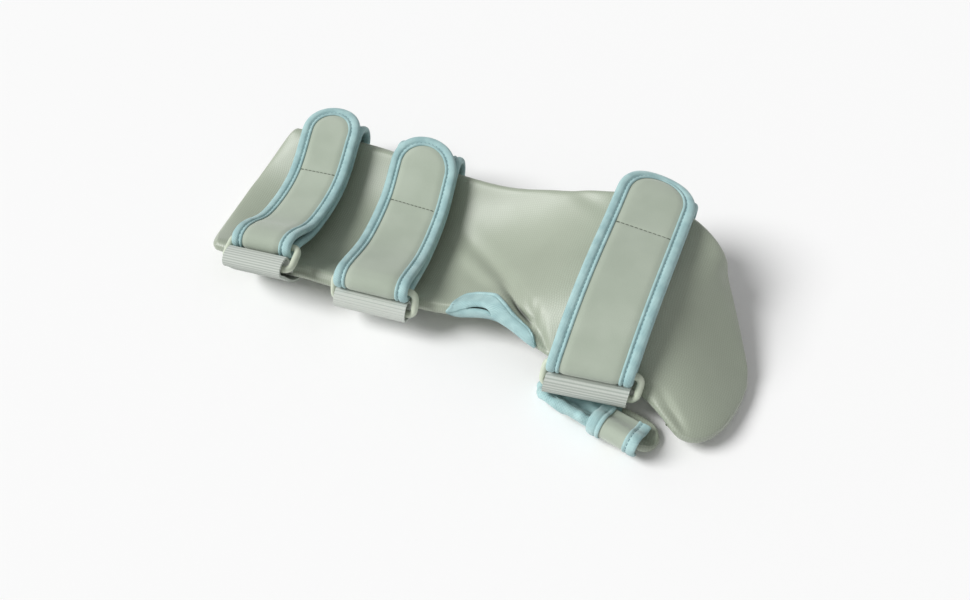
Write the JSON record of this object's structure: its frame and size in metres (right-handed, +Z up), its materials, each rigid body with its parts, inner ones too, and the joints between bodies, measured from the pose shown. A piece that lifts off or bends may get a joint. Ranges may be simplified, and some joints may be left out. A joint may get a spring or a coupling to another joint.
{
  "type": "resting hand splint",
  "caption": "Padded resting splint for a left hand: a curved gutter for forearm, palm and fingers, a thumb trough, and fold-back straps on plastic rings.",
  "frame": {"origin": "on the flat underside of the forearm gutter, where the splint rests on a surface", "axes": "+X along the forearm towards the fingertips, +Y towards the little finger with the thumb on -Y, +Z up out of the open gutter"},
  "size_m": [0.3462, 0.1669, 0.069],
  "materials": {
    "knit_cover": "smooth shiny knit over foam",
    "neoprene_strap": "matt napped strap cloth",
    "edge_tape": "stitched edge binding",
    "ring_plastic": "moulded, slightly glossy",
    "ribbed_webbing": "ribbed woven webbing"
  },
  "bodies": {
    "root": {"splint_pad": "knit_cover", "cover_mouth_upper_lip": "edge_tape", "cover_mouth_lower_lip": "edge_tape", "forearm_strap": "neoprene_strap", "forearm_strap_binding": "edge_tape", "forearm_ring": "ring_plastic", "forearm_webbing": "ribbed_webbing", "wrist_strap": "neoprene_strap", "wrist_strap_binding": "edge_tape", "wrist_ring": "ring_plastic", "wrist_webbing": "ribbed_webbing", "hand_strap": "neoprene_strap", "hand_strap_binding": "edge_tape", "hand_ring": "ring_plastic", "hand_webbing": "ribbed_webbing", "thumb_trough": "knit_cover", "thumb_trough_binding": "edge_tape", "thumb_strap": "neoprene_strap", "thumb_strap_palm_binding": "edge_tape", "thumb_strap_tip_binding": "edge_tape"}
  },
  "joints": []
}
